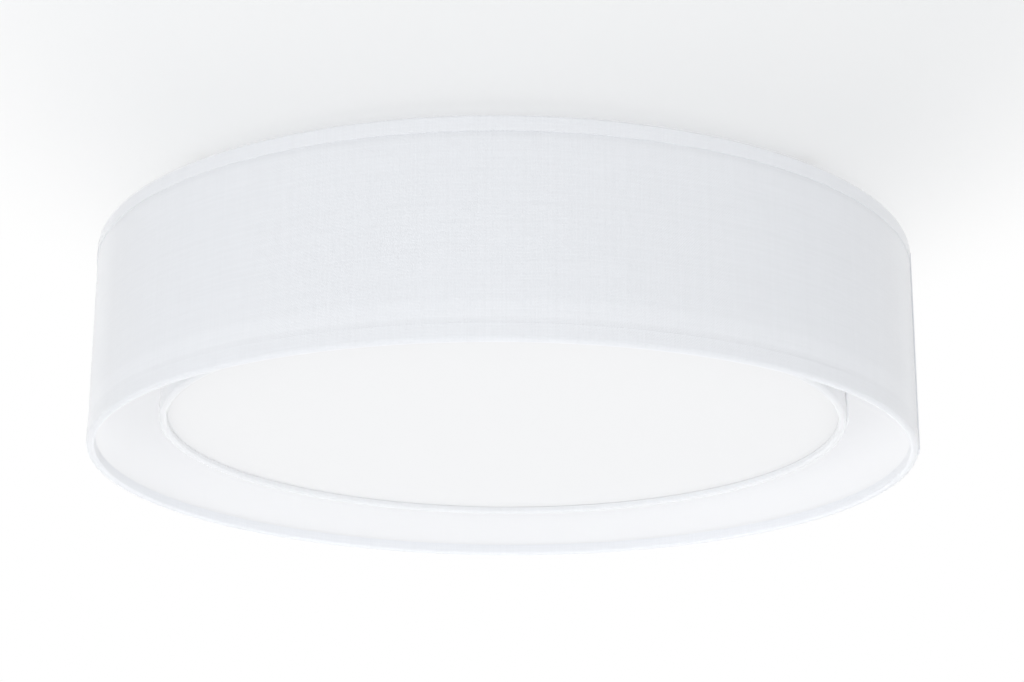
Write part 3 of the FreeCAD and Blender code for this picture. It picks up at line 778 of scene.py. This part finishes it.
@dataclass
class Drum:
    """One fabric drum: panel, side seam, film, hems and rings."""

    name: str
    cloth: Material
    hem_cloth: Material
    film: Material
    wire: Material
    holds_disc: bool = False        # whether the diffuser lies on its bottom hem
    segments: int = 288
    panel_rows: int = 30
    film_rows: int = 6
    cloth_thickness: float = 0.5 * MM
    film_gap: float = 0.02 * MM     # between cloth and film
    tape_thickness: float = 0.5 * MM
    tuck: float = 8.4 * MM          # how far a tape goes up behind its ring
    disc_gap: float = 0.18 * MM     # between the disc and the tape that goes up to it
    leg_end: float = 0.4 * MM       # from a ring's middle to where the roll starts
    roll_steps: int = 10            # in each quarter of the roll
    wave: float = 40 * MM           # length and depth of the tapes' unevenness
    wave_depth: float = 0.06 * MM
    seam_turn: float = -9.0         # degrees from +X to the side seam's free edge
    seam_width: float = 13 * MM
    seam_inset: float = 0.4 * MM    # between the flap's ends and the rims
    seam_grid: tuple[int, int] = (10, 24)
    seam_step: float = 0.4 * MM     # by which the flap rises off its root
    seam_lift: float = 0.2 * MM     # by which its free edge curls up
    seam_gap: float = 0.1 * MM      # between the flap's free edge and the cloth
    seam_thickness: float = 1.1 * MM
    seam_bevel: float = 0.12 * MM

    def __post_init__(self) -> None:
        """Read the drum's sizes from the frame."""
        self.liner_inside, self.liner_face = radii(f"{self.name}_liner")
        self.cloth_face = self.liner_face + self.cloth_thickness
        self.outside = radii(f"{self.name}_bottom_hem")[1]
        self.low, self.high = heights(f"{self.name}_liner")
        self.top = heights(f"{self.name}_top_hem")[1]
        self.bottom, hem_high = heights(f"{self.name}_bottom_hem")
        self.hem_cover = hem_high - self.bottom
        ring_low, ring_high = heights(f"{self.name}_bottom_ring")
        self.ring_line = sum(radii(f"{self.name}_bottom_ring")) / 2
        self.ring_rise = (ring_low + ring_high) / 2 - self.bottom

    def build(self) -> None:
        """Make and dress every piece of the drum."""
        panel = self.panel()
        pieces = [self.hem(Edge.TOP), self.hem(Edge.BOTTOM), self.seam_flap()]
        circumference = 2 * math.pi * self.cloth_face
        self.lining()
        paint_nodes((f"{self.name}_top_ring", f"{self.name}_bottom_ring"), self.wire)

    def wall(self, name: str, radius: float, rows: int, thickness: float) -> Piece:
        """A thin upright wall as high as the film.

        Args:
            name: The piece's name.
            radius: Of its outside.
            rows: Number of rows of faces.
            thickness: Of the wall, inwards.

        Returns:
            The wall.
        """
        levels = [self.low + (self.high - self.low) * row / rows for row in range(rows + 1)]
        piece = turned(name, [(radius, level) for level in levels], self.segments)
        modify(piece, "SOLIDIFY", thickness=thickness, offset=-1)
        smooth(piece)
        return piece

    def panel(self) -> Piece:
        """The woven panel between the rims.

        Returns:
            The panel.
        """
        piece = self.wall(f"{self.name}_panel", self.cloth_face, self.panel_rows,
                          self.cloth_thickness)
        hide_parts(f"{self.name}_fabric")
        dress(piece, self.cloth, "shade")
        return piece

    def lining(self) -> None:
        """The stiff film behind the panel."""
        piece = self.wall(f"{self.name}_film", self.liner_face - self.film_gap,
                          self.film_rows, self.liner_face - self.liner_inside)
        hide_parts(f"{self.name}_liner")
        dress(piece, self.film, "shade")

    def hem(self, edge: Edge) -> Piece:
        """Tape rolled round a ring: down the outside, round the wire and tucked behind it.

        Args:
            edge: The rim that it goes round.

        Returns:
            The hem.
        """
        rim = self.bottom if edge is Edge.BOTTOM else self.top
        stations = [(radius, rim + rise * edge.value) for radius, rise in self._skin(edge)]
        node = f"{self.name}_{edge.name.lower()}_hem"
        piece = turned(f"{node}_rolled", stations, self.segments)
        face_outwards(piece)
        modify(piece, "SOLIDIFY", thickness=self.tape_thickness, offset=-1)
        roughen(piece, self.wave, self.wave_depth)
        smooth(piece, 50)
        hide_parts(node)
        dress(piece, self.hem_cloth, "shade")
        return piece

    def _skin(self, edge: Edge) -> list[Station]:
        """The outer line of a tape's section.

        Args:
            edge: The rim that it goes round.

        Returns:
            Radius and distance from the rim of each point, from the outside leg's end.
        """
        outer_half = self.outside - self.ring_line
        inner_half = self.ring_rise
        skin = [(self.outside, self.hem_cover), (self.outside, self.hem_cover * 0.5),
                (self.outside, self.ring_rise + self.leg_end)]
        for step in range(self.roll_steps + 1):
            angle = QUARTER_TURN * step / self.roll_steps
            skin.append((self.ring_line + outer_half * math.cos(angle),
                         self.ring_rise * (1 - math.sin(angle))))
        for step in range(1, self.roll_steps + 1):
            angle = QUARTER_TURN * (1 + step / self.roll_steps)
            skin.append((self.ring_line + inner_half * math.cos(angle),
                         self.ring_rise - inner_half * math.sin(angle)))
        tuck = self.tuck
        if self.holds_disc and edge is Edge.BOTTOM:
            tuck = heights("diffuser")[0] - self.bottom - self.disc_gap
        return [*skin, (self.ring_line - inner_half, tuck)]

    def seam_flap(self) -> Piece:
        """The panel's overlapping end, whose free edge lifts off a little.

        Returns:
            The flap.
        """
        deselect_all()
        height = self.top - self.bottom - 2 * self.seam_inset
        middle = (self.top + self.bottom) / 2
        sweep = self.seam_width / self.outside
        free = math.radians(self.seam_turn)
        columns, rows = self.seam_grid
        bpy.ops.mesh.primitive_grid_add(x_subdivisions=columns, y_subdivisions=rows, size=1,
                                        location=(0, 0, 0))
        piece = bpy.context.object
        piece.name = piece.data.name = f"{self.name}_seam_flap"
        for vertex in piece.data.vertices:
            share = vertex.co.x + 0.5               # 0 at the free edge, 1 at the root
            angle = free + sweep * share
            reach = self.cloth_face + self._seam_rise(1 - share, vertex.co.y)
            vertex.co = Vector((reach * math.cos(angle), reach * math.sin(angle),
                                middle + vertex.co.y * height))
        edit_all(piece)
        bpy.ops.mesh.normals_make_consistent(inside=False)
        leave_edit()
        face_outwards(piece)
        modify(piece, "SOLIDIFY", thickness=self.seam_thickness, offset=-1)
        modify(piece, "BEVEL", width=self.seam_bevel, segments=2, limit_method="ANGLE")
        smooth(piece)
        dress(piece, self.cloth, "shade")
        return piece

    def _seam_rise(self, off_root: float, along: float) -> float:
        """How far the seam flap's face is off the cloth.

        Args:
            off_root: 0 at the flap's root and 1 at its free edge.
            along: -0.5 at its low end and 0.5 at its high end.

        Returns:
            The distance in metres.
        """
        curl, waves, wave_share, slope = 2.5, 9, 0.25, 4
        lift = self.seam_lift * off_root ** curl * (1 + wave_share * math.sin(along * waves))
        step = self.seam_step * min(1.0, off_root * slope)
        return self.tape_thickness + step + lift + self.seam_gap * off_root


@dataclass
class Diffuser:
    """The opal disc on the inner drum's bottom ring."""

    opal: Material
    segments: int = 256
    rings: int = 12
    edge_steps: int = 4
    softened: float = 0.8 * MM      # radius of the edges
    sag: float = 0.7 * MM           # how much lower its middle is

    def build(self) -> None:
        """Make the disc, a little lower in its middle, with softened edges."""
        low, high = heights("diffuser")
        radius = radii("diffuser")[1]
        inner = radius - self.softened
        spokes = [inner * ring / self.rings for ring in range(self.rings + 1)]
        under = [(r, low - self.sag * (1 - (r / radius) ** 2)) for r in spokes]
        over = [(r, high - self.sag * (1 - (r / radius) ** 2)) for r in reversed(spokes)]
        edge_low, edge_high = (radius, low + self.softened), (radius, high - self.softened)
        stations = under + arc((inner, low), edge_low, self.softened, self.edge_steps)
        stations += [edge_high]
        stations += arc(edge_high, (inner, high), self.softened, self.edge_steps)[:-1]
        piece = turned("diffuser_disc", stations + over, self.segments)
        smooth(piece)
        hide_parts("diffuser")
        dress(piece, self.opal, "diffuser_disc")


# ---------------- frame and lamps

@dataclass
class CeilingFrame:
    """Plate, wiring housing and small hardware that stay on the ceiling."""

    paint: Material
    zinc: Material
    brass: Material
    rubber: Material
    block_plastic: Material
    sheath: Material
    earth: Material
    sheet_bevel: float = 0.3 * MM
    screw_bevel: float = 0.2 * MM

    def build(self) -> None:
        """Finish the plate and housing and dress what is inside."""
        for node in ("ceiling_plate", "wiring_housing", "housing_cover"):
            dress(refined(node, self.sheet_bevel), self.paint, "ceiling_frame")
        for node in ("arm_bushes", "cover_screws", "flange_screws", "nipple_nuts", "nipples"):
            dress(refined(node, self.screw_bevel), self.zinc, "ceiling_frame")
        dress(refined("cable_grommet", self.sheet_bevel), self.rubber, "ceiling_frame")
        paint_nodes(("terminal_block",), self.block_plastic)
        paint_nodes(("block_screws",), self.zinc)
        paint_nodes(("terminal_screws", "earth_stud", "centre_contacts"), self.brass)
        paint_nodes((f"screw_shell_{k + 1}" for k in range(AROUND)), self.brass)
        paint_nodes((f"holder_lead_{k + 1}" for k in range(AROUND)), self.sheath)
        paint_nodes(("earth_wire",), self.earth)


@dataclass
class Straps:
    """The bars that join the drums' top rings, and the thumb screws through them."""

    paint: Material
    nickel: Material
    strap_bevel: float = 0.35 * MM
    screw_bevel: float = 0.15 * MM
    tip_length: float = 3.4 * MM    # of the slope at a strap's outer end
    tip_depth: float = 1.55 * MM

    def build(self) -> None:
        """Finish the straps and thumb screws."""
        for number in range(1, AROUND + 1):
            strap = self.strap(f"shade_strap_{number}")
            dress(strap, self.paint, "shade")
            screw = refined(f"thumb_screw_{number}", self.screw_bevel)
            dress(screw, self.nickel, f"screw_{number}")

    def strap(self, node: str) -> Piece:
        """A strap whose outer end slopes down to the ring that it is welded on.

        Args:
            node: The CAD node.

        Returns:
            The strap.
        """
        strap = refined(node, self.strap_bevel)
        tip = max((vertex.co for vertex in strap.data.vertices),
                  key=lambda co: math.hypot(co.x, co.y))
        out = Vector((tip.x, tip.y, 0)).normalized()
        crest = out * (radii(node)[1] - self.tip_length)
        crest.z = heights(node)[1]
        slope = Vector((0, 0, self.tip_length)) + out * self.tip_depth
        edit_all(strap)
        bpy.ops.mesh.bisect(plane_co=crest, plane_no=slope.normalized(), use_fill=True,
                            clear_outer=True)
        leave_edit()
        return strap


@dataclass
class Lamps:
    """The four lampholders and their bulbs."""

    holder: Material
    glass: Material
    nickel: Material
    holder_bevel: float = 0.4 * MM
    bulb_bevel: float = 0.1 * MM

    def build(self) -> None:
        """Finish the lampholders and bulbs."""
        for number in range(1, AROUND + 1):
            for part in ("cap", "body"):
                piece = refined(f"lampholder_{part}_{number}", self.holder_bevel)
                dress(piece, self.holder, "ceiling_frame")
            dress(refined(f"bulb_globe_{number}", self.bulb_bevel), self.glass,
                  f"bulb_{number}")
            dress(refined(f"bulb_cap_{number}", self.bulb_bevel), self.nickel,
                  f"bulb_{number}")


# ---------------- stage

@dataclass(frozen=True)
class SoftLight:
    """A square area light that points at the object and isn't seen itself."""

    name: str
    place: Place
    size: float
    power: float

    def build(self) -> None:
        """Hang the light up."""
        data = bpy.data.lights.new(self.name, "AREA")
        data.size = self.size
        data.energy = self.power
        lamp = bpy.data.objects.new(self.name, data)
        bpy.context.scene.collection.objects.link(lamp)
        lamp.location = self.place
        lamp.visible_camera = False
        aim = Vector((0, 0, -0.1)) - Vector(self.place)
        lamp.rotation_mode = "QUATERNION"
        lamp.rotation_quaternion = aim.to_track_quat("-Z", "Y")


@dataclass
class Studio:
    """Floor, one-sided ceiling, light and camera."""

    ambient: float = 0.79           # level of the world's light, as a share of white
    floor_drop: float = 7.0
    floor_span: float = 160.0
    floor_colour: Colour = (0.9, 0.9, 0.9)
    floor_white: float = 0.97       # level that the eye sees on it
    floor_share: float = 0.7        # how much of that it sees, and not the lit floor
    ceiling_gap: float = 0.5 * MM   # above the ceiling plate
    ceiling_span: float = 14.0
    ceiling_colour: Colour = (0.88, 0.89, 0.88)
    ceiling_tint: Colour = (0.985, 0.995, 1.02)
    ceiling_level: float = 0.825    # painted shade: level that the eye sees over the object
    ceiling_slant: float = 0.14     # by which that painted level falls in a metre to the right
    ceiling_share: float = 0.6      # how much of that it sees, and not the lit ceiling
    patch_middle: tuple[float, float] = (0.02, -0.45)   # of the painted shade patch, the part that isn't white
    patch_reach: tuple[float, float] = (0.51, 0.75)
    patch_fade: tuple[float, float] = (0.43, 0.94)      # where it fades, in its reach
    camera_place: Place = (0.0063, -1.7154, -0.6111)
    pitch: float = 17.73            # degrees up
    roll: float = 0.32              # degrees anticlockwise, seen from behind the camera
    lens: float = 85.4
    sensor: float = 36.0
    clip: tuple[float, float] = (0.05, 60.0)

    def build(self) -> None:
        """Make everything that isn't the object."""
        self.world()
        self.floor()
        self.ceiling()
        self.lights()
        self.camera()
        bpy.context.scene.view_settings.view_transform = "Standard"

    def world(self) -> None:
        """White to the eye, and a plainer level of light on surfaces."""
        world = bpy.data.worlds.new("studio")
        bpy.context.scene.world = world
        shader = Shader(world)
        level = self.ambient + shader.seen() * (1 - self.ambient)
        shader.close(shader.node("ShaderNodeBackground",
                                 inputs={"Color": (*WHITE, 1.0), "Strength": level}))

    def plane(self, name: str, span: float, height: float) -> Piece:
        """A large level plane that belongs to the stage.

        Args:
            name: The plane's name.
            span: Length of its sides.
            height: Where it is.

        Returns:
            The plane.
        """
        deselect_all()
        bpy.ops.mesh.primitive_plane_add(size=span, location=(0, 0, height))
        plane = bpy.context.object
        plane.name = plane.data.name = name
        return plane

    def floor(self) -> None:
        """A plain pale floor far below the light, nearly white to the eye."""
        shader = Shader.named("pale_floor")
        lit = shader.node("ShaderNodeBsdfDiffuse", inputs={"Color": (*self.floor_colour, 1.0)})
        pale = shader.node("ShaderNodeEmission", inputs={"Strength": self.floor_white})
        shader.close(shader.node("ShaderNodeMixShader", inputs={
            0: shader.seen() * self.floor_share, 1: lit, 2: pale}))
        floor = self.plane("floor", self.floor_span, -self.floor_drop)
        floor.data.materials.append(shader.owner)

    def ceiling(self) -> None:
        """A pale ceiling that is seen from below only, takes the light's shadow and has
        painted shade round the object that is darker to the right.
        """
        shader = Shader.named("pale_ceiling")
        _, x, y, _ = shader.place()
        lit = shader.node("ShaderNodeBsdfDiffuse",
                          inputs={"Color": (*self.ceiling_colour, 1.0)})
        # painted shade: a grey level round the object that falls to the right, mixed over the
        # lit ceiling
        slanted = self.ceiling_level - x * self.ceiling_slant
        level = shader.node("ShaderNodeEmission", inputs={
            "Color": shader.tint(self.ceiling_tint, slanted), "Strength": 1.0})
        near = shader.node("ShaderNodeMixShader",
                           inputs={0: self.ceiling_share, 1: lit, 2: level})
        bright = shader.node("ShaderNodeEmission", inputs={"Strength": 1.0})
        across = (x - self.patch_middle[0]) / self.patch_reach[0]
        along = (y - self.patch_middle[1]) / self.patch_reach[1]
        distance = shader.math("SQRT", across * across + along * along)
        fade = shader.ease(distance, self.patch_fade)
        seen = shader.node("ShaderNodeMixShader", inputs={0: fade, 1: near, 2: bright})
        clear = shader.node("ShaderNodeBsdfTransparent")
        eye = shader.node("ShaderNodeLightPath", output="Is Camera Ray")
        behind = shader.node("ShaderNodeNewGeometry", output="Backfacing")
        shader.close(shader.node("ShaderNodeMixShader", inputs={
            0: eye * (1 - behind), 1: clear, 2: seen}))
        ceiling = self.plane("ceiling", self.ceiling_span, self.ceiling_gap)
        edit_all(ceiling)
        bpy.ops.mesh.flip_normals()
        leave_edit()
        ceiling.data.materials.append(shader.owner)

    def lights(self) -> None:
        """A key beside the camera, a broad fill below, and weaker ones behind and beside."""
        for light in (("key", (-0.34, -2.5, -1.15), 1.4, 23.0),
                      ("fill", (0.1, 0.1, -2.4), 3.4, 11.5),
                      ("back_low", (0.0, 0.9, -1.05), 1.2, 2.7),
                      ("left_wrap", (-2.4, 0.5, -1.2), 1.6, 10.0),
                      ("right_wrap", (2.4, 0.5, -1.2), 1.6, 8.5)):
            SoftLight(*light).build()

    def camera(self) -> None:
        """The camera at the photograph's place, looking a little up."""
        data = bpy.data.cameras.new("viewer")
        data.lens = self.lens
        data.sensor_width = self.sensor
        data.clip_start, data.clip_end = self.clip
        viewer = bpy.data.objects.new("viewer", data)
        bpy.context.scene.collection.objects.link(viewer)
        viewer.location = self.camera_place
        level = Euler((QUARTER_TURN + math.radians(self.pitch), 0, 0)).to_quaternion()
        tilt = Quaternion((0, 0, 1), math.radians(self.roll))
        viewer.rotation_mode = "QUATERNION"
        viewer.rotation_quaternion = level @ tilt
        bpy.context.scene.camera = viewer


# ---------------- assembly

@dataclass(frozen=True)
class DrumLook:
    """How one drum is coloured, how much painted glow stands for light coming through it and
    how its seam lies.
    """

    cloth: Colour
    hem: Colour
    glow: float                     # painted glow through the panel
    hem_glow: float                 # painted glow through the hems
    inner_glow: float               # painted glow through the hems' inside legs
    seam_gap: float                 # between the seam's free edge and the cloth
    low_glow: float = 0.035         # more painted glow just above the bottom hem
    film: Colour = (0.47, 0.475, 0.49)


# The glows are painted light for light coming through cloth, hems and film. The inner drum's
# cloth is darker in colour than the outer's and is lit again by more painted glow. The films
# are dark in colour under a strong painted glow.
LOOKS = {
    DrumPlace.OUTER: DrumLook((0.78, 0.80, 0.835), (0.79, 0.81, 0.845), glow=0.02,
                              hem_glow=0.02, inner_glow=0.09, seam_gap=0.05 * MM),
    DrumPlace.INNER: DrumLook((0.70, 0.715, 0.74), (0.72, 0.735, 0.76), glow=0.165,
                              hem_glow=0.125, inner_glow=0.12, seam_gap=0.6 * MM)}


def planned_drum(place: DrumPlace, wire: Material) -> Drum:
    """One drum with its finishes.

    Args:
        place: Which of the two.
        wire: The finish of its rings.

    Returns:
        The drum, not yet built.
    """
    name, look = place.value, LOOKS[place]
    radius = radii(f"{name}_liner")[1]
    edges = (heights(f"{name}_bottom_hem")[1], heights(f"{name}_top_hem")[0])
    cloth = WovenCloth(f"{name}_weave", look.cloth, radius, edges, glow=look.glow,
                       low_glow=look.low_glow)
    hem_cloth = WovenCloth(f"{name}_hem_weave", look.hem, radius, edges, edge_depth=0.0,
                           glow=look.hem_glow, inner_glow=look.inner_glow,
                           ring_line=sum(radii(f"{name}_bottom_ring")) / 2)
    film = StiffFilm(f"{name}_backing", look.film, radius)
    return Drum(name, cloth.material(), hem_cloth.material(), film.material(), wire,
                holds_disc=place is DrumPlace.INNER, seam_gap=look.seam_gap)


def main() -> None:
    """Build the stage and every sub-assembly."""
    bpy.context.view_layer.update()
    Studio().build()
    paint = PowderCoat("white_powder_coat", (0.84, 0.84, 0.83)).material()
    nickel = PlatedMetal("nickel_plate", (0.74, 0.72, 0.69), 0.22).material()
    zinc = PlatedMetal("zinc_plate", (0.66, 0.67, 0.69), 0.34).material()
    brass = PlatedMetal("turned_brass", (0.78, 0.60, 0.32), 0.3).material()
    wire = PowderCoat("wire_enamel", (0.84, 0.84, 0.84)).material()
    for place in DrumPlace:
        planned_drum(place, wire).build()
    # the disc's glow is painted light that stands for light coming through it
    Diffuser(OpalSheet("satin_acrylic", (0.61, 0.615, 0.625), glow=0.16).material()).build()
    CeilingFrame(
        paint=paint, zinc=zinc, brass=brass,
        rubber=MouldedPlastic("rubber", (0.035, 0.035, 0.035), 0.7, 0.04 * MM).material(),
        block_plastic=MouldedPlastic("block_plastic", (0.78, 0.77, 0.73), 0.5).material(),
        sheath=MouldedPlastic("lead_sheath", (0.80, 0.80, 0.78), 0.45).material(),
        earth=MouldedPlastic("earth_sheath", (0.30, 0.46, 0.07), 0.45).material()).build()
    Straps(paint=paint, nickel=nickel).build()
    Lamps(holder=MouldedPlastic("glazed_plastic", (0.86, 0.86, 0.84), 0.22).material(),
          glass=OpalSheet("etched_glass", (0.90, 0.90, 0.88), 0.18, 0.5).material(),
          nickel=nickel).build()


if __name__ == "__main__":
    main()
